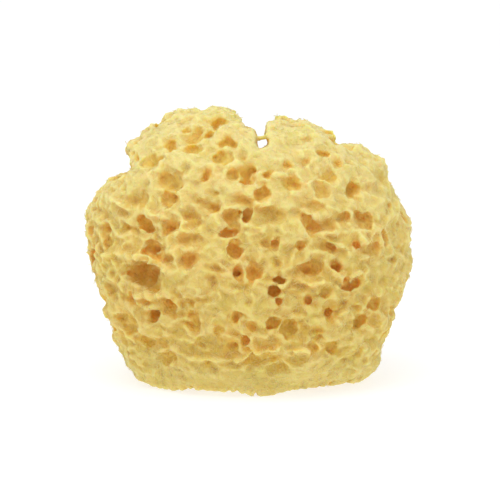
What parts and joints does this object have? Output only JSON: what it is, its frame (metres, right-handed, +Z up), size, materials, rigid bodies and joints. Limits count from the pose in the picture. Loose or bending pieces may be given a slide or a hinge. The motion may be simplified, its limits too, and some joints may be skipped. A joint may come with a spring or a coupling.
{
  "type": "sea sponge",
  "caption": "Natural sea sponge: a broad rounded lump, pitted all over, with a cleft crown and a flat cut base to rest on, for bathing or display.",
  "frame": {"origin": "middle of the bounding box, on the flat cut base", "axes": "+Z up from the cut base, +X across the broad front, -Y towards the front that the picture shows"},
  "size_m": [0.1302, 0.1038, 0.11],
  "materials": {
    "sponge_skeleton": "matte fibrous skeleton, pale straw yellow on the ridges and amber in the pits"
  },
  "bodies": {
    "root": {"sponge": "sponge_skeleton"}
  },
  "joints": []
}
